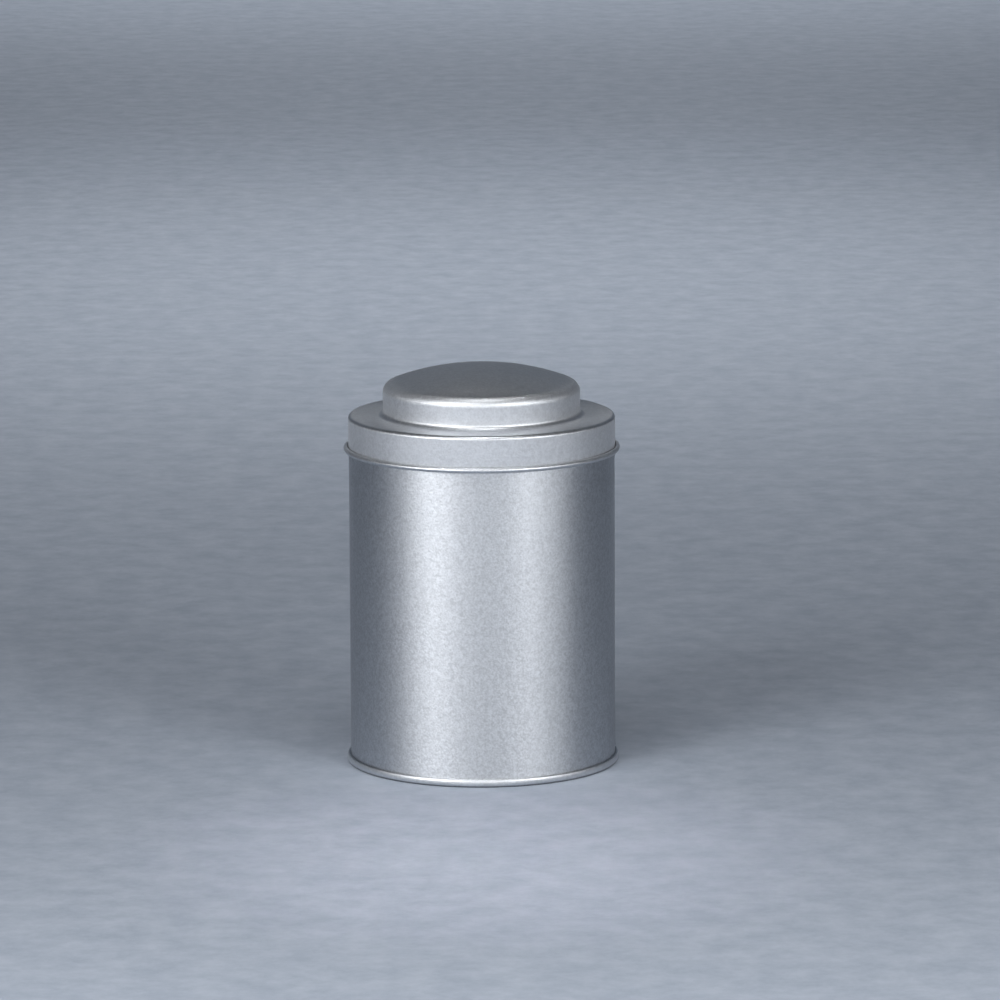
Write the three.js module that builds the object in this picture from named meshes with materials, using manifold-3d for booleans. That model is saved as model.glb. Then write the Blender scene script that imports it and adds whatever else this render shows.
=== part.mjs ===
// A round slip-lid candle tin, pressed and rolled from thin tinplate, in millimetres with +Z up.
// The origin is the middle of the foot. The four pieces are the rolled body, the base end whose
// edge is double seamed round the body's foot, the ring of compound that seals that seam, and the
// drawn lid. The side seam of the body is at +Y.

import * as THREE from 'three';
import { mergeVertices } from 'three/addons/utils/BufferGeometryUtils.js';
import Module from 'manifold-3d';

const wasm = await Module();
wasm.setup();

// Driving dimensions.
const SHEET = 0.22; // tinplate thickness
const SEAM_CLEARANCE = 0.03; // between neighbouring layers of the double seam
const BODY_RADIUS = 36.5; // outside of the body wall
const SHOULDER_HEIGHT = 96.6; // top of the lid's flat ring
const TIN_HEIGHT = 110.25; // top of the dome

// Double seam at the foot.
const SEAM_HEIGHT = 2.25;
const SEAM_BULGE_RADIUS = 3.6; // outside radius of its gently bulging wall
const SEAM_BULGE_HEIGHT = 0.95; // height of its widest place
const SEAM_CORNER = 0.5; // outside radius of its outer lower corner
const SEAM_INNER_CORNER = 0.35;
const SEAM_HOOK_OVERLAP = 0.8; // height that the two hooks share
const SEAL_HEIGHT = 0.21; // compound under the body's hook

// Base end.
const FLOOR_HEIGHT = 3.6; // top of the floor beside the wall
const FLOOR_CORNER = 0.8;
const FLOOR_STEP = 0.5; // depth of the middle of the floor
const FLOOR_STEP_RADIUS = 31;
const FLOOR_STEP_BEND = 0.8;

// Neck and rim of the body.
const NECK_START = 86.4;
const NECK_INSET = 0.35;
const NECK_BEND = 0.5;
const RIM_CURL_RADIUS = 0.6; // outside radius of the rolled rim
const RIM_CURL_SWEEP = 285;
const RIM_GAP = 0.13; // between the rim and the underside of the lid

// Side seam, a folded lock seam flattened against the inside of the wall.
const SIDE_SEAM_WIDTH = 3.2;
const SIDE_SEAM_LAYERS = 3;
const SIDE_SEAM_SINK = 0.18; // depth of the outer face of the fold below the outside of the wall
const SIDE_SEAM_MARGIN = 0.6; // bare wall left above the floor and below the neck

// Lid.
const SKIRT_RADIUS = 36.6;
const SKIRT_CORNER = 1;
const RISER_RADIUS = 27.05;
const COVE_RADIUS = 1.4;
const DOME_CORNER = 3;
const DOME_CORNER_HEIGHT = 102.8; // centre of the rounded edge of the dome
const LID_CURL_RADIUS = 0.76; // outside radius of the curl along the skirt's lower edge
const LID_CURL_HEIGHT = 87.4;
const LID_CURL_SWEEP = 285;

// Faceting.
const SEGMENTS = 40; // round the axis; a multiple of four keeps the widths exact
const CHORD_ERROR = 0.05;
const LARGEST_STEP = 45; // degrees

const HALF_SHEET = SHEET / 2;
const LAYER_PITCH = SHEET + SEAM_CLEARANCE;
const BODY_MIDDLE = BODY_RADIUS - HALF_SHEET;

const radians = THREE.MathUtils.degToRad;
const degrees = THREE.MathUtils.radToDeg;

// A section of sheet metal is a chain of bends in its middle line, joined by straight stretches.
// A bend turns about (r, z) from one angle to another, in degrees, anticlockwise when it rises.
const bend = (r, z, radius, from, to) => ({ r, z, radius, from, to });

// A cut edge, or the axis, where the middle line runs in the direction given.
const tip = (r, z, heading) => bend(r, z, 0, heading - 90, heading - 90);

// Two bends that carry the middle line to its left by the offset and leave its heading as it was.
function joggle(r, z, heading, offset, radius) {
  const turn = degrees(Math.acos(1 - offset / (2 * radius)));
  const run = 2 * radius * Math.sin(radians(turn));
  const ahead = [Math.cos(radians(heading)), Math.sin(radians(heading))];
  const left = [-ahead[1], ahead[0]];
  const far = offset - radius;
  return [
    bend(r + radius * left[0], z + radius * left[1], radius, heading - 90, heading - 90 + turn),
    bend(
      r + run * ahead[0] + far * left[0],
      z + run * ahead[1] + far * left[1],
      radius,
      heading + 90 + turn,
      heading + 90,
    ),
  ];
}

// Points along one face of the sheet round a bend; side is 1 for the left face, -1 for the right.
function bendFace({ r, z, radius, from, to }, side) {
  const sweep = Math.abs(to - from);
  const finest = degrees(2 * Math.acos(1 - Math.min(CHORD_ERROR / (radius || 1), 1)));
  const steps = Math.ceil(sweep / Math.min(finest, LARGEST_STEP));
  const towardsCentre = to < from ? -side : side;
  const reach = radius - towardsCentre * HALF_SHEET;
  const points = [];
  for (let i = 0; i <= steps; i++) {
    const angle = radians(from + ((to - from) * i) / (steps || 1));
    const x = r + reach * Math.cos(angle);
    points.push(new THREE.Vector2(Math.abs(x) < 1e-9 ? 0 : x, z + reach * Math.sin(angle)));
  }
  return points;
}

// The closed outline of the sheet, anticlockwise; one that leaves the axis also ends on it.
function sheetOutline(bends) {
  const right = bends.flatMap((b) => bendFace(b, -1));
  const left = bends.flatMap((b) => bendFace(b, 1));
  return closeOutline([...right, ...left.reverse()]);
}

function closeOutline(points) {
  return points[0].x === 0 ? points : [...points, points[0].clone()];
}

function turn(outline) {
  const geometry = new THREE.LatheGeometry(outline, SEGMENTS);
  geometry.rotateX(Math.PI / 2);
  return geometry;
}

function toSolid(geometry) {
  const bare = geometry.clone();
  bare.deleteAttribute('normal');
  bare.deleteAttribute('uv');
  const merged = mergeVertices(bare);
  const vertProperties = new Float32Array(merged.attributes.position.array);
  const corners = merged.index.array;
  const triVerts = [];
  for (let i = 0; i < corners.length; i += 3) {
    const [a, b, c] = [corners[i], corners[i + 1], corners[i + 2]];
    if (a !== b && b !== c && c !== a) triVerts.push(a, b, c);
  }
  return new wasm.Manifold(
    new wasm.Mesh({ numProp: 3, vertProperties, triVerts: new Uint32Array(triVerts) }),
  );
}

function toGeometry(solid) {
  const { vertProperties, triVerts } = solid.getMesh();
  const geometry = new THREE.BufferGeometry();
  geometry.setAttribute('position', new THREE.BufferAttribute(vertProperties, 3));
  geometry.setIndex(new THREE.BufferAttribute(triVerts, 1));
  geometry.computeVertexNormals();
  return geometry;
}

function piece(name, geometry, color, roughness, metalness) {
  const material = new THREE.MeshStandardMaterial({ color, roughness, metalness });
  const mesh = new THREE.Mesh(geometry, material);
  mesh.name = name;
  return mesh;
}

// Middle radii of the layers of the double seam on either side of the body wall: the base end's
// wall inside it, and outside it the base end's hook and then the body's own hook.
const CHUCK_WALL = BODY_MIDDLE - LAYER_PITCH;
const END_HOOK = BODY_MIDDLE + LAYER_PITCH;
const BODY_HOOK = BODY_MIDDLE + 2 * LAYER_PITCH;
const BODY_HOOK_FOOT = SHEET + SEAL_HEIGHT + 2 * SEAM_CLEARANCE;

// The body turns up outside itself at the foot, joggles in at the neck and rolls in at the rim.
function bodyShell() {
  const rimCentreHeight = SHOULDER_HEIGHT - SHEET - RIM_GAP - RIM_CURL_RADIUS;
  const neckMiddle = BODY_MIDDLE - NECK_INSET;
  const rimMiddle = RIM_CURL_RADIUS - HALF_SHEET;
  const hookBend = LAYER_PITCH;
  const hookCentreHeight = BODY_HOOK_FOOT + HALF_SHEET + hookBend;
  const endHookTip = hookCentreHeight + SEAM_CLEARANCE;
  const wall = turn(
    sheetOutline([
      tip(BODY_HOOK, endHookTip + SEAM_HOOK_OVERLAP, -90),
      bend(END_HOOK, hookCentreHeight, hookBend, 0, -180),
      ...joggle(BODY_MIDDLE, NECK_START, 90, NECK_INSET, NECK_BEND),
      bend(neckMiddle - rimMiddle, rimCentreHeight, rimMiddle, 0, RIM_CURL_SWEEP),
    ]),
  );
  const solid = toSolid(wall).add(toSolid(sideSeam()));
  return piece('body_shell', toGeometry(solid), 0xb4b8bf, 0.42, 1);
}

// The fold of the side seam. Its outer face lies within the wall, which makes the two one piece.
function sideSeam() {
  const depth = SIDE_SEAM_LAYERS * SHEET;
  const bottom = FLOOR_HEIGHT + SIDE_SEAM_MARGIN;
  const top = NECK_START - SIDE_SEAM_MARGIN;
  const fold = new THREE.BoxGeometry(SIDE_SEAM_WIDTH, depth, top - bottom);
  const middle = BODY_RADIUS - SIDE_SEAM_SINK - depth / 2;
  return fold.translate(0, middle, (top + bottom) / 2);
}

// The outside of the seam: its lower corner, its gentle bulge and the bend over its top.
function seamWall() {
  const bulge = SEAM_BULGE_RADIUS - HALF_SHEET;
  const corner = SEAM_CORNER - HALF_SHEET;
  const topBend = LAYER_PITCH;
  const topHeight = SEAM_HEIGHT - HALF_SHEET - topBend;
  const topAngle = Math.asin((topHeight - SEAM_BULGE_HEIGHT) / (bulge - topBend));
  const centre = BODY_HOOK - (bulge - topBend) * Math.cos(topAngle);
  const cornerAngle = Math.asin((SEAM_CORNER - SEAM_BULGE_HEIGHT) / (bulge - corner));
  const cornerCentre = centre + (bulge - corner) * Math.cos(cornerAngle);
  return [
    bend(cornerCentre, SEAM_CORNER, corner, -90, degrees(cornerAngle)),
    bend(centre, SEAM_BULGE_HEIGHT, bulge, degrees(cornerAngle), degrees(topAngle)),
    bend(BODY_HOOK, topHeight, topBend, degrees(topAngle), 180),
  ];
}

// The floor is sunk in its middle. Its edge goes down inside the body, out under it, up outside
// it, and hooks down between the body and the body's own hook.
function baseEnd() {
  const floor = FLOOR_HEIGHT - HALF_SHEET;
  const corner = FLOOR_CORNER - HALF_SHEET;
  const foot = SEAM_INNER_CORNER - HALF_SHEET;
  const hookBend = LAYER_PITCH;
  const hookTip = BODY_HOOK_FOOT + HALF_SHEET + hookBend + SEAM_CLEARANCE;
  const outline = sheetOutline([
    tip(0, floor - FLOOR_STEP, 0),
    ...joggle(FLOOR_STEP_RADIUS, floor - FLOOR_STEP, 0, FLOOR_STEP, FLOOR_STEP_BEND),
    bend(CHUCK_WALL - corner, floor - corner, corner, 90, 0),
    bend(CHUCK_WALL + foot, SEAM_INNER_CORNER, foot, 180, 270),
    ...seamWall(),
    tip(END_HOOK, hookTip, -90),
  ]);
  return piece('base_end', turn(outline), 0xaeb2b9, 0.38, 1);
}

// Lining compound squeezed between the base end and the fold of the body's hook.
function baseSealRing() {
  const bottom = SHEET + SEAM_CLEARANCE;
  const top = bottom + SEAL_HEIGHT;
  const middle = (bottom + top) / 2;
  const slope = SEAL_HEIGHT / 2;
  const inner = CHUCK_WALL + HALF_SHEET + SEAM_CLEARANCE;
  const outer = BODY_HOOK - slope;
  const outline = closeOutline([
    new THREE.Vector2(inner, middle),
    new THREE.Vector2(inner + slope, bottom),
    new THREE.Vector2(outer - slope, bottom),
    new THREE.Vector2(outer, middle),
    new THREE.Vector2(outer - slope, top),
    new THREE.Vector2(inner + slope, top),
  ]);
  return piece('base_seal_ring', turn(outline), 0x8f8672, 0.8, 0);
}

// A shallow dome with a rounded edge, a short riser, a cove, a flat ring and the skirt, whose
// lower edge is rolled outwards into an open curl.
function lidShell() {
  const domeEdge = DOME_CORNER - HALF_SHEET;
  const edgeRadius = RISER_RADIUS - DOME_CORNER;
  const rise = TIN_HEIGHT - DOME_CORNER_HEIGHT;
  const domeRadius =
    (edgeRadius ** 2 + rise ** 2 - DOME_CORNER ** 2) / (2 * (rise - DOME_CORNER));
  const domeCentre = TIN_HEIGHT - domeRadius;
  const domeEnd = degrees(Math.atan2(DOME_CORNER_HEIGHT - domeCentre, edgeRadius));
  const skirtCorner = SKIRT_CORNER - HALF_SHEET;
  const curlMiddle = LID_CURL_RADIUS - HALF_SHEET;
  const coveCentre = RISER_RADIUS + COVE_RADIUS;
  const outline = sheetOutline([
    bend(0, domeCentre, domeRadius - HALF_SHEET, 90, domeEnd),
    bend(edgeRadius, DOME_CORNER_HEIGHT, domeEdge, domeEnd, 0),
    bend(coveCentre, SHOULDER_HEIGHT + COVE_RADIUS, COVE_RADIUS + HALF_SHEET, 180, 270),
    bend(SKIRT_RADIUS - SKIRT_CORNER, SHOULDER_HEIGHT - SKIRT_CORNER, skirtCorner, 90, 0),
    bend(
      SKIRT_RADIUS - HALF_SHEET + curlMiddle,
      LID_CURL_HEIGHT,
      curlMiddle,
      180,
      180 + LID_CURL_SWEEP,
    ),
  ]);
  return piece('lid_shell', turn(outline), 0xb8bcc3, 0.34, 1);
}

const tin = new THREE.Group();
tin.add(bodyShell(), baseEnd(), baseSealRing(), lidShell());

export default tin;
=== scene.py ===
"""The looks of the candle tin: finely turned sheet pieces in satin tinplate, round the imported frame."""

import math

import bpy
import numpy as np
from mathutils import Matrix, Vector


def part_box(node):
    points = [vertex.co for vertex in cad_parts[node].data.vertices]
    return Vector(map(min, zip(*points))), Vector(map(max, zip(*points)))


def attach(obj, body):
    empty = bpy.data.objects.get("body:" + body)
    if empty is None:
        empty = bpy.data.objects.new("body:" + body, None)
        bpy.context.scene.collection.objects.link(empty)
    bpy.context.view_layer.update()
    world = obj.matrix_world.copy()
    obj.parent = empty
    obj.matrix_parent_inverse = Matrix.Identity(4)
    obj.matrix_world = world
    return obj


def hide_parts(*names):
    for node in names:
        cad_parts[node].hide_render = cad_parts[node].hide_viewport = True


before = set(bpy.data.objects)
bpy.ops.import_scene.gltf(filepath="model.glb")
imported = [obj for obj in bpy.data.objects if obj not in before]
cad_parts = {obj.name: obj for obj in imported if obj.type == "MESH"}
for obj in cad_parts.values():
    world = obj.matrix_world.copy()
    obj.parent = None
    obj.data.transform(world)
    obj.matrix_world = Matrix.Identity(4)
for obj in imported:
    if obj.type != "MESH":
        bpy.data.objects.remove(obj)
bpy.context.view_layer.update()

MM = 0.001

# Places taken from the frame, in millimetres.
LID_LOW, LID_HIGH = (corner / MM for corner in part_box("lid_shell"))
BODY_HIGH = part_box("body_shell")[1] / MM
BASE_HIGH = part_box("base_end")[1] / MM

# Sheet and double seam; the radii are those of the outside of each bend.
SHEET = 0.22
HALF_SHEET = SHEET / 2
SEAM_CLEARANCE = 0.03
LAYER_PITCH = SHEET + SEAM_CLEARANCE
SEAM_HEIGHT = 2.25
SEAM_BULGE_RADIUS = 3.6
SEAM_BULGE_HEIGHT = 0.95
SEAM_CORNER = 0.5
SEAM_INNER_CORNER = 0.35
SEAL_HEIGHT = 0.21
BODY_HOOK = BODY_HIGH.x - HALF_SHEET
END_HOOK = BODY_HOOK - LAYER_PITCH
BODY_MIDDLE = END_HOOK - LAYER_PITCH
CHUCK_WALL = BODY_MIDDLE - LAYER_PITCH
BODY_RADIUS = BODY_MIDDLE + HALF_SHEET
HOOK_OVERLAP = 0.8

# Base end.
FLOOR_HEIGHT = BASE_HIGH.z
FLOOR_CORNER = 0.8
FLOOR_STEP = 0.5
FLOOR_STEP_RADIUS = 31
FLOOR_STEP_BEND = 0.8

# Neck, rim and side seam of the body.
NECK_START = 86.4
NECK_INSET = 0.35
NECK_BEND = 0.5
RIM_CURL_RADIUS = 0.6
CURL_SWEEP = 285
SIDE_SEAM_HALF_WIDTH = 1.6
SIDE_SEAM_FOLD = 0.62
SIDE_SEAM_EASE = 0.35
SIDE_SEAM_MARGIN = 0.6
SIDE_SEAM_END_EASE = 0.4
SIDE_SEAM_GROOVE = 0.07
SIDE_SEAM_GROOVE_WIDTH = 0.16

# Lid.
RIM_GAP = 0.13
SKIRT_GAP = 0.1
TIN_HEIGHT = LID_HIGH.z
SHOULDER_HEIGHT = BODY_HIGH.z + RIM_GAP + SHEET
SKIRT_RADIUS = BODY_RADIUS + SKIRT_GAP
SKIRT_CORNER = 1
RISER_RADIUS = 27.05
COVE_RADIUS = 1.4
DOME_CORNER = 3
DOME_CORNER_HEIGHT = 102.8
LID_CURL_RADIUS = 0.76
LID_CURL_HEIGHT = LID_LOW.z + LID_CURL_RADIUS

# Fineness of the turned pieces.
SPOKES = 288
FLOOR_SPOKES = 96
HALF_TURN_STEPS = 12
FINEST_TURN = 9
LONGEST_CHORD = 0.9
SUPPORT = 0.12
LONGEST_STRETCH = 5
SEAM_SPOKE_STEP = 0.04
SEAM_SPOKE_MARGIN = 0.5
ON_AXIS = 1e-6
SHARP_ANGLE = math.radians(38)

# A bend of this radius or less is fully worked by the tools.
SHARP_BEND = 2.5


# ---------------------------------------------------------------- sections of sheet metal

def bend(r, z, radius, start, end):
    """The sheet's middle line turns about (r, z) from one angle to another, in degrees."""
    return r, z, radius, start, end


def tip(r, z, heading):
    """A cut edge, or the axis, where the middle line runs in the direction given."""
    return bend(r, z, 0, heading - 90, heading - 90)


def joggle(r, z, heading, offset, radius):
    """Two bends that carry the middle line to its left and leave its heading as it was."""
    turn = math.degrees(math.acos(1 - offset / (2 * radius)))
    run = 2 * radius * math.sin(math.radians(turn))
    ahead = math.cos(math.radians(heading)), math.sin(math.radians(heading))
    left = -ahead[1], ahead[0]
    far = offset - radius
    first = bend(r + radius * left[0], z + radius * left[1], radius, heading - 90, heading - 90 + turn)
    second = bend(
        r + run * ahead[0] + far * left[0],
        z + run * ahead[1] + far * left[1],
        radius,
        heading + 90 + turn,
        heading + 90,
    )
    return [first, second]


def bend_face(one, side):
    """Points (r, z, worked) on one face of the sheet round a bend; side is 1 for the left face.

    Worked is how hard the tools bent the sheet there: above 0 on the outside of a bend, below 0 inside it.
    """
    r, z, radius, start, end = one
    sweep = abs(end - start)
    if radius == 0:
        steps = 0
    else:
        steps = math.ceil(sweep / min(FINEST_TURN, math.degrees(LONGEST_CHORD / radius)))
    towards_centre = -side if end < start else side
    reach = radius - towards_centre * HALF_SHEET
    tightness = 0 if radius == 0 else min(1, SHARP_BEND / radius)
    points = []
    for i in range(steps + 1):
        share = i / steps if steps else 0
        angle = math.radians(start + (end - start) * share)
        worked = -towards_centre * tightness * math.sin(math.pi * share)
        points.append((r + reach * math.cos(angle), z + reach * math.sin(angle), worked))
    return points


def with_supports(points, closed):
    """Adds points on the long straight stretches, so that smooth shading keeps them flat."""
    ends = points[1:] + points[:1] if closed else points[1:]
    result = []
    for a, b in zip(points, ends):
        result.append(a)
        length = math.dist(a[:2], b[:2])
        if length > 3 * SUPPORT:
            inner = max(1, math.ceil((length - 2 * SUPPORT) / LONGEST_STRETCH))
            shares = [SUPPORT + (length - 2 * SUPPORT) * k / inner for k in range(inner + 1)]
            for along in shares:
                t = along / length
                result.append((a[0] + (b[0] - a[0]) * t, a[1] + (b[1] - a[1]) * t, 0))
    if not closed:
        result.append(points[-1])
    return result


def sheet_outline(bends):
    """The outline of the sheet, anticlockwise, and whether it closes on itself off the axis."""
    right = [p for b in bends for p in bend_face(b, -1)]
    left = [p for b in bends for p in bend_face(b, 1)]
    closed = abs(right[0][0]) > ON_AXIS
    return with_supports(right + left[::-1], closed), closed


# ---------------------------------------------------------------- turned meshes

def even_spokes(count=SPOKES):
    return np.linspace(0, 2 * math.pi, count, endpoint=False)


def spokes_with_side_seam():
    """Spokes all round, and close ones across the side seam at +Y."""
    half = (SIDE_SEAM_HALF_WIDTH + SEAM_SPOKE_MARGIN) / BODY_RADIUS
    step = SEAM_SPOKE_STEP / BODY_RADIUS
    close = math.pi / 2 + np.arange(-half, half + step / 2, step)
    even = even_spokes()
    return np.sort(np.concatenate([even[np.abs(even - math.pi / 2) > half + step], close]))


def turned(name, outline, closed, spokes, shape=None):
    """A mesh of revolution about Z from (r, z, worked) points in millimetres."""
    profile = np.array(outline)
    on_axis = np.abs(profile[:, 0]) < ON_AXIS
    vertices, bends, rings = [], [], []
    for (r, z, worked), axis in zip(profile, on_axis):
        first = len(vertices)
        if axis:
            vertices.append((0, 0, z * MM))
            bends.append(worked)
            rings.append([first] * len(spokes))
            continue
        radii = np.full(len(spokes), r)
        if shape is not None:
            radii = shape(radii, z, spokes)
        across, along = radii * np.cos(spokes) * MM, radii * np.sin(spokes) * MM
        vertices.extend(zip(across, along, [z * MM] * len(spokes)))
        bends.extend([worked] * len(spokes))
        rings.append(list(range(first, first + len(spokes))))
    pairs = list(zip(rings, rings[1:]))
    if closed:
        pairs.append((rings[-1], rings[0]))
    faces = []
    for low, high in pairs:
        for i in range(len(spokes)):
            j = (i + 1) % len(spokes)
            corners = dict.fromkeys((low[i], low[j], high[j], high[i]))
            faces.append(tuple(corners))
    mesh = bpy.data.meshes.new(name)
    mesh.from_pydata(vertices, [], [f for f in faces if len(f) > 2])
    attribute = mesh.attributes.new("worked", "FLOAT", "POINT")
    attribute.data.foreach_set("value", np.array(bends, np.float32))
    mesh.shade_smooth()
    mesh.set_sharp_from_angle(angle=SHARP_ANGLE)
    piece = bpy.data.objects.new(name, mesh)
    bpy.context.scene.collection.objects.link(piece)
    return piece


# ---------------------------------------------------------------- pieces

BODY_HOOK_FOOT = SHEET + SEAL_HEIGHT + 2 * SEAM_CLEARANCE
HOOK_CENTRE_HEIGHT = BODY_HOOK_FOOT + HALF_SHEET + LAYER_PITCH


def smooth_step(x):
    x = np.clip(x, 0, 1)
    return x * x * (3 - 2 * x)


def side_seam_shape(radii, z, spokes):
    """The fold stands out on the inside of the wall, and a fine groove runs down the outside."""
    across = np.abs(spokes - math.pi / 2) * BODY_RADIUS
    if radii[0] > BODY_MIDDLE - NECK_INSET:
        groove = SIDE_SEAM_GROOVE * (1 - smooth_step(across / SIDE_SEAM_GROOVE_WIDTH))
        return radii - groove
    low = FLOOR_HEIGHT + SIDE_SEAM_MARGIN
    high = NECK_START - SIDE_SEAM_MARGIN
    ends = smooth_step((z - low) / SIDE_SEAM_END_EASE) * smooth_step((high - z) / SIDE_SEAM_END_EASE)
    beyond = (across - SIDE_SEAM_HALF_WIDTH + SIDE_SEAM_EASE) / SIDE_SEAM_EASE
    return radii - SIDE_SEAM_FOLD * ends * (1 - smooth_step(beyond))


def body_wall():
    """The rolled wall, from the hook at its foot through the neck to the rim rolled inwards."""
    rim_middle = RIM_CURL_RADIUS - HALF_SHEET
    neck_middle = BODY_MIDDLE - NECK_INSET
    outline, closed = sheet_outline([
        tip(BODY_HOOK, HOOK_CENTRE_HEIGHT + SEAM_CLEARANCE + HOOK_OVERLAP, -90),
        bend(END_HOOK, HOOK_CENTRE_HEIGHT, LAYER_PITCH, 0, -180),
        *joggle(BODY_MIDDLE, NECK_START, 90, NECK_INSET, NECK_BEND),
        bend(neck_middle - rim_middle, BODY_HIGH.z - RIM_CURL_RADIUS, rim_middle, 0, CURL_SWEEP),
    ])
    return turned("body_wall", outline, closed, spokes_with_side_seam(), side_seam_shape)


def seam_wall():
    """The outside of the double seam: its lower corner, its gentle bulge and the bend over its top."""
    bulge = SEAM_BULGE_RADIUS - HALF_SHEET
    corner = SEAM_CORNER - HALF_SHEET
    top_height = SEAM_HEIGHT - HALF_SHEET - LAYER_PITCH
    top_angle = math.asin((top_height - SEAM_BULGE_HEIGHT) / (bulge - LAYER_PITCH))
    centre = BODY_HOOK - (bulge - LAYER_PITCH) * math.cos(top_angle)
    corner_angle = math.asin((SEAM_CORNER - SEAM_BULGE_HEIGHT) / (bulge - corner))
    corner_centre = centre + (bulge - corner) * math.cos(corner_angle)
    low, high = math.degrees(corner_angle), math.degrees(top_angle)
    return [
        bend(corner_centre, SEAM_CORNER, corner, -90, low),
        bend(centre, SEAM_BULGE_HEIGHT, bulge, low, high),
        bend(BODY_HOOK, top_height, LAYER_PITCH, high, 180),
    ]


def base_panel():
    """The pressed base, from its sunk middle through the chuck wall to the hook inside the seam."""
    floor = FLOOR_HEIGHT - HALF_SHEET
    corner = FLOOR_CORNER - HALF_SHEET
    foot = SEAM_INNER_CORNER - HALF_SHEET
    outline, closed = sheet_outline([
        tip(0, floor - FLOOR_STEP, 0),
        *joggle(FLOOR_STEP_RADIUS, floor - FLOOR_STEP, 0, FLOOR_STEP, FLOOR_STEP_BEND),
        bend(CHUCK_WALL - corner, floor - corner, corner, 90, 0),
        bend(CHUCK_WALL + foot, SEAM_INNER_CORNER, foot, 180, 270),
        *seam_wall(),
        tip(END_HOOK, HOOK_CENTRE_HEIGHT + SEAM_CLEARANCE, -90),
    ])
    return turned("base_panel", outline, closed, even_spokes())


def seam_compound():
    """The ring of lining compound, flat above and below and round at its two sides."""
    radius = SEAL_HEIGHT / 2
    middle = SHEET + SEAM_CLEARANCE + radius
    inner = CHUCK_WALL + HALF_SHEET + SEAM_CLEARANCE + radius
    outer = BODY_HOOK - SEAL_HEIGHT
    outline = []
    for centre, start in ((outer, -90), (inner, 90)):
        for i in range(HALF_TURN_STEPS + 1):
            angle = math.radians(start + 180 * i / HALF_TURN_STEPS)
            outline.append((centre + radius * math.cos(angle), middle + radius * math.sin(angle), 0))
    return turned("seam_compound", outline, True, even_spokes())


def lid():
    """The drawn lid: dome, rounded edge, riser, cove, flat ring, skirt and open curl."""
    edge_radius = RISER_RADIUS - DOME_CORNER
    rise = TIN_HEIGHT - DOME_CORNER_HEIGHT
    dome_radius = (edge_radius**2 + rise**2 - DOME_CORNER**2) / (2 * (rise - DOME_CORNER))
    dome_centre = TIN_HEIGHT - dome_radius
    dome_end = math.degrees(math.atan2(DOME_CORNER_HEIGHT - dome_centre, edge_radius))
    curl_middle = LID_CURL_RADIUS - HALF_SHEET
    outline, closed = sheet_outline([
        bend(0, dome_centre, dome_radius - HALF_SHEET, 90, dome_end),
        bend(edge_radius, DOME_CORNER_HEIGHT, DOME_CORNER - HALF_SHEET, dome_end, 0),
        bend(RISER_RADIUS + COVE_RADIUS, SHOULDER_HEIGHT + COVE_RADIUS, COVE_RADIUS + HALF_SHEET, 180, 270),
        bend(SKIRT_RADIUS - SKIRT_CORNER, SHOULDER_HEIGHT - SKIRT_CORNER, SKIRT_CORNER - HALF_SHEET, 90, 0),
        bend(SKIRT_RADIUS - HALF_SHEET + curl_middle, LID_CURL_HEIGHT, curl_middle, 180, 180 + CURL_SWEEP),
    ])
    return turned("lid", outline, closed, even_spokes())


# ---------------------------------------------------------------- materials, in metres

# Nearly all of a noise lies in the wide range, and most of it in the narrow one.
WIDE_RANGE = 0.3, 0.7
NARROW_RANGE = 0.36, 0.64

# Painted shade at the foot, where the seam meets the floor: darkest below the first height and untouched
# above the second.
FOOT_SHADE_HEIGHTS = 0.0002, 0.00065
FOOT_SHADE_TONE = 0.35


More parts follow.
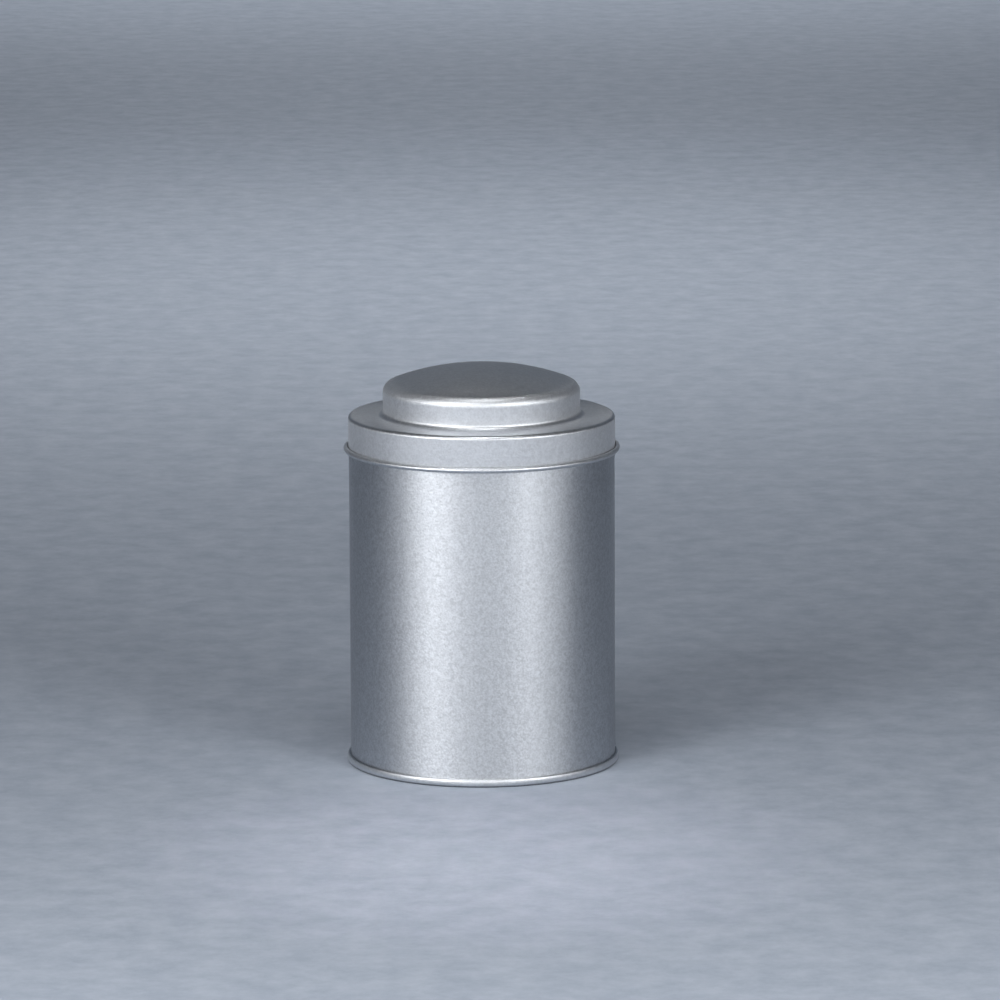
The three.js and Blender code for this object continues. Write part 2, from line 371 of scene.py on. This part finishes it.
class Nodes:
    """Short calls for building one material's node tree."""

    def __init__(self, name):
        self.material = bpy.data.materials.new(name)
        self.material.use_nodes = True
        self.tree = self.material.node_tree
        self.shader = self.tree.nodes["Principled BSDF"]

    def node(self, kind, **settings):
        made = self.tree.nodes.new(kind)
        for key, value in settings.items():
            setattr(made, key, value)
        return made

    def link(self, source, target):
        self.tree.links.new(source, target)

    def position(self):
        return self.node("ShaderNodeTexCoord").outputs["Object"]

    def from_axis(self, vector):
        flat = self.node("ShaderNodeVectorMath", operation="MULTIPLY")
        self.link(vector, flat.inputs[0])
        flat.inputs[1].default_value = (1, 1, 0)
        length = self.node("ShaderNodeVectorMath", operation="LENGTH")
        self.link(flat.outputs[0], length.inputs[0])
        return length.outputs["Value"]

    def noise(self, vector, scale, detail=2, roughness=0.5):
        made = self.node("ShaderNodeTexNoise")
        made.inputs["Scale"].default_value = scale
        made.inputs["Detail"].default_value = detail
        made.inputs["Roughness"].default_value = roughness
        self.link(vector, made.inputs["Vector"])
        return made.outputs["Fac"]

    def spread(self, value, low, high, to_low, to_high):
        made = self.node("ShaderNodeMapRange", clamp=True)
        self.link(value, made.inputs["Value"])
        for socket, number in zip(("From Min", "From Max", "To Min", "To Max"), (low, high, to_low, to_high)):
            made.inputs[socket].default_value = number
        return made.outputs["Result"]

    def maths(self, operation, a, b):
        made = self.node("ShaderNodeMath", operation=operation)
        for socket, value in zip(made.inputs, (a, b)):
            if isinstance(value, (int, float)):
                socket.default_value = value
            else:
                self.link(value, socket)
        return made.outputs[0]

    def mix_colour(self, share, a, b):
        made = self.node("ShaderNodeMix", data_type="RGBA")
        self.link(share, made.inputs["Factor"])
        made.inputs["A"].default_value = (*a, 1)
        made.inputs["B"].default_value = (*b, 1)
        return made.outputs["Result"]

    def painted_foot_shade(self, vector, colour):
        """Paints shade into the colour at the very foot, where the seam meets the floor."""
        height = self.node("ShaderNodeSeparateXYZ")
        self.link(vector, height.inputs[0])
        unshaded = self.spread(height.outputs["Z"], *FOOT_SHADE_HEIGHTS, FOOT_SHADE_TONE, 1)
        made = self.node("ShaderNodeVectorMath", operation="SCALE")
        self.link(colour, made.inputs[0])
        self.link(unshaded, made.inputs["Scale"])
        return made.outputs[0]

    def bump(self, height, strength, distance):
        made = self.node("ShaderNodeBump")
        made.inputs["Strength"].default_value = strength
        made.inputs["Distance"].default_value = distance
        self.link(height, made.inputs["Height"])
        return made.outputs["Normal"]


# How much less rough the bends are where tools burnished them, and the sharp ones where they are worn.
BURNISH = 0.1
WEAR = 0.05
WORN_FROM = 0.7

# The grain of the tinplate, and the slow haze over it.
GRAIN_SIZE = 0.00055
GRAIN_DEPTH = 0.000035
GRAIN_CONTRAST = 0.105
GRAIN_ROUGHNESS = 0.05
GRAIN_SHARE = 0.6
CLUSTER_SIZE = 0.0013
HAZE_SIZE = 0.018
HAZE_ROUGHNESS = 0.02

# Share of a turn that the streaks are rotated by.
STREAKS_ALONG_AXIS = 0.25
STREAKS_ROUND_AXIS = 0

# Radii between which the streaks set in; the dome and the middle of the base have none.
DOME_EDGE, DOME_OUTSIDE = 0.023, 0.0265


def tinplate(name, colour, roughness, streaks, direction, grain):
    """Satin tinplate: a grain of fine facets, slow haze, and bends that the tools burnished.

    Rolling or drawing leaves streaks on the walls, which spread what they reflect along one direction.
    """
    n = Nodes(name)
    place = n.position()
    tangent = n.node("ShaderNodeTangent", direction_type="RADIAL", axis="Z")
    n.link(tangent.outputs[0], n.shader.inputs["Tangent"])
    n.shader.inputs["Anisotropic Rotation"].default_value = direction
    streaked = n.spread(n.from_axis(place), DOME_EDGE, DOME_OUTSIDE, 0, streaks)
    n.link(streaked, n.shader.inputs["Anisotropic"])
    grains = n.noise(place, 1 / GRAIN_SIZE, detail=1)
    clusters = n.noise(place, 1 / CLUSTER_SIZE, detail=2)
    haze = n.noise(place, 1 / HAZE_SIZE, detail=4, roughness=0.6)
    worked = n.node("ShaderNodeAttribute", attribute_name="worked").outputs["Fac"]
    burnished = n.maths("MULTIPLY", n.maths("ABSOLUTE", worked, 0), BURNISH)
    worn = n.spread(worked, WORN_FROM, 1, 0, WEAR)
    grained = n.spread(grains, *WIDE_RANGE, -GRAIN_ROUGHNESS, GRAIN_ROUGHNESS)
    hazed = n.spread(haze, *WIDE_RANGE, -HAZE_ROUGHNESS, HAZE_ROUGHNESS)
    rough = n.maths("ADD", n.maths("ADD", grained, hazed), roughness)
    rough = n.maths("SUBTRACT", n.maths("SUBTRACT", rough, burnished), worn)
    n.link(rough, n.shader.inputs["Roughness"])
    fine = n.maths("MULTIPLY", grains, GRAIN_SHARE)
    speckle = n.maths("ADD", fine, n.maths("MULTIPLY", clusters, 1 - GRAIN_SHARE))
    contrast = GRAIN_CONTRAST * grain
    dull, bright = (tuple(c * (1 + side * contrast) for c in colour) for side in (-1, 1))
    tone = n.mix_colour(n.spread(speckle, *NARROW_RANGE, 0, 1), dull, bright)
    # Painted shade: the tone is darkened at the very foot, where the seam meets the floor.
    n.link(n.painted_foot_shade(place, tone), n.shader.inputs["Base Color"])
    n.link(n.bump(grains, 1, GRAIN_DEPTH * grain), n.shader.inputs["Normal"])
    n.shader.inputs["Metallic"].default_value = 1
    return n.material


COMPOUND_GRAIN_SIZE = 0.0011
COMPOUND_GRAIN_DEPTH = 0.00003


def compound():
    """Matt lining compound, slightly mottled."""
    n = Nodes("seam_compound")
    mottle = n.noise(n.position(), 1 / COMPOUND_GRAIN_SIZE, detail=4)
    n.link(n.mix_colour(mottle, (0.24, 0.21, 0.17), (0.36, 0.32, 0.25)), n.shader.inputs["Base Color"])
    n.link(n.spread(mottle, *WIDE_RANGE, 0.62, 0.82), n.shader.inputs["Roughness"])
    n.link(n.bump(mottle, 0.4, COMPOUND_GRAIN_DEPTH), n.shader.inputs["Normal"])
    return n.material


FIBRE_SIZE = 0.012


def paper():
    """Pale blue-grey studio paper with soft, cloudy fibres."""
    n = Nodes("studio_paper")
    fibres = n.noise(n.position(), 1 / FIBRE_SIZE, detail=9, roughness=0.72)
    mottle = n.spread(fibres, *NARROW_RANGE, 0, 1)
    n.link(n.mix_colour(mottle, (0.34, 0.385, 0.46), (0.43, 0.475, 0.55)), n.shader.inputs["Base Color"])
    n.shader.inputs["Roughness"].default_value = 0.85
    n.shader.inputs["Specular IOR Level"].default_value = 0.25
    return n.material


def add_pieces():
    body_look = tinplate("body_tinplate", (0.62, 0.64, 0.67), 0.46, 0.6, STREAKS_ALONG_AXIS, 1.25)
    base_look = tinplate("base_tinplate", (0.61, 0.63, 0.66), 0.42, 0.4, STREAKS_ROUND_AXIS, 0.6)
    lid_look = tinplate("lid_tinplate", (0.63, 0.65, 0.68), 0.48, 0.5, STREAKS_ROUND_AXIS, 0.75)
    for piece, node, body, slot, look in (
        (body_wall(), "body_shell", "tin", "body_tinplate", body_look),
        (base_panel(), "base_end", "tin", "base_tinplate", base_look),
        (seam_compound(), "base_seal_ring", "tin", "seam_compound", compound()),
        (lid(), "lid_shell", "lid", "lid_tinplate", lid_look),
    ):
        piece.data.materials.append(look)
        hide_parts(node)
        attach(piece, body)


# ---------------------------------------------------------------- studio, in metres and degrees

CAMERA_PLACE = (0, -1.802, 0.4068)
CAMERA_PITCH = 10.51
CAMERA_YAW = 0.204
CAMERA_ROLL = -0.25
CAMERA_LENS = 240.1


def add_camera():
    data = bpy.data.cameras.new("camera")
    data.lens = CAMERA_LENS
    data.clip_end = 50
    camera = bpy.data.objects.new("camera", data)
    camera.location = CAMERA_PLACE
    turns = 90 - CAMERA_PITCH, -CAMERA_ROLL, -CAMERA_YAW
    camera.rotation_euler = [math.radians(turn) for turn in turns]
    bpy.context.scene.collection.objects.link(camera)
    bpy.context.scene.camera = camera


FLOOR_FLAT = 2.6
FLOOR_SWEEP = 1.6
FLOOR_WALL = 2.4
FLOOR_RINGS = 0.2, 0.6, 1.2, 2.0
SWEEP_STEPS = 16


def add_floor():
    """A round seamless sweep of pale paper: flat, then curving up into a wall all round."""
    outline = [(0, 0, 0)]
    outline += [(r / MM, 0, 0) for r in FLOOR_RINGS]
    for i in range(SWEEP_STEPS + 1):
        angle = math.radians(-90 + 90 * i / SWEEP_STEPS)
        outline.append((
            (FLOOR_FLAT + FLOOR_SWEEP * math.cos(angle)) / MM,
            (FLOOR_SWEEP + FLOOR_SWEEP * math.sin(angle)) / MM,
            0,
        ))
    outline.append(((FLOOR_FLAT + FLOOR_SWEEP) / MM, (FLOOR_SWEEP + FLOOR_WALL) / MM, 0))
    floor = turned("floor", outline, False, even_spokes(FLOOR_SPOKES))
    floor.data.materials.append(paper())


TIN_MIDDLE = (0, 0, 0.055)
PANEL_DISTANCE = 1.2
LAMP_HEIGHT = 1.5


def add_light(name, place, aim, size, power, grid=180, colour=(1, 1, 1)):
    """A rectangular softbox; a grid, in degrees, keeps its light from spreading sideways."""
    data = bpy.data.lights.new(name, "AREA")
    data.shape = "RECTANGLE"
    data.size, data.size_y = size
    data.energy = power
    data.color = colour
    data.spread = math.radians(grid)
    light = bpy.data.objects.new(name, data)
    light.location = place
    light.rotation_euler = (Vector(aim) - Vector(place)).to_track_quat("-Z", "Y").to_euler()
    light.visible_camera = False
    bpy.context.scene.collection.objects.link(light)


def add_panel(name, azimuth, elevation, size, power):
    """A softbox that faces the tin; azimuth 0 is the camera's side and 90 is its right."""
    a, e = math.radians(azimuth), math.radians(elevation)
    back = Vector((math.sin(a) * math.cos(e), -math.cos(a) * math.cos(e), math.sin(e)))
    add_light(name, Vector(TIN_MIDDLE) + back * PANEL_DISTANCE, TIN_MIDDLE, size, power)


def add_lights():
    add_panel("left_softbox", -35, 27, (0.43, 0.64), 5.8)
    add_panel("left_card", -50, 10, (0.6, 0.24), 2.8)
    add_panel("left_side_card", -76, 12, (0.4, 0.4), 0.35)
    add_panel("front_card", 0, 7, (1.0, 0.24), 2.1)
    add_panel("top_softbox", 0, 66, (0.7, 0.5), 2.5)
    add_panel("right_softbox", 37, 21, (0.36, 0.42), 4.1)
    add_panel("right_card", 58, 10, (0.7, 0.24), 1.8)
    add_light("front_lamp", (0, -0.5, 1.3), (0, -0.5, 0), (0.5, 0.5), 0.43, grid=45)
    add_light("foreground_lamp", (0, -0.12, 1.3), (0, -0.12, 0), (0.05, 0.05), 0.015, grid=9)
    add_light("near_backdrop_lamp", (0, 0.87, LAMP_HEIGHT), (0, 0.87, 0), (0.7, 0.7), 1.4, grid=44)
    add_light("far_backdrop_lamp", (0, 2.2, LAMP_HEIGHT), (0, 2.2, 0), (1.2, 1.2), 4, grid=68)
    add_light("wall_wash", (0, 1.0, 2.4), (0, 4.2, 2.6), (1.6, 1.6), 14, grid=150, colour=(0.7, 0.86, 1))
    world = bpy.data.worlds.new("studio")
    world.use_nodes = True
    world.node_tree.nodes["Background"].inputs["Color"].default_value = (0.93, 0.96, 1, 1)
    world.node_tree.nodes["Background"].inputs["Strength"].default_value = 0.08
    bpy.context.scene.world = world


bpy.context.scene.view_settings.view_transform = "Standard"
add_camera()
add_pieces()
add_floor()
add_lights()
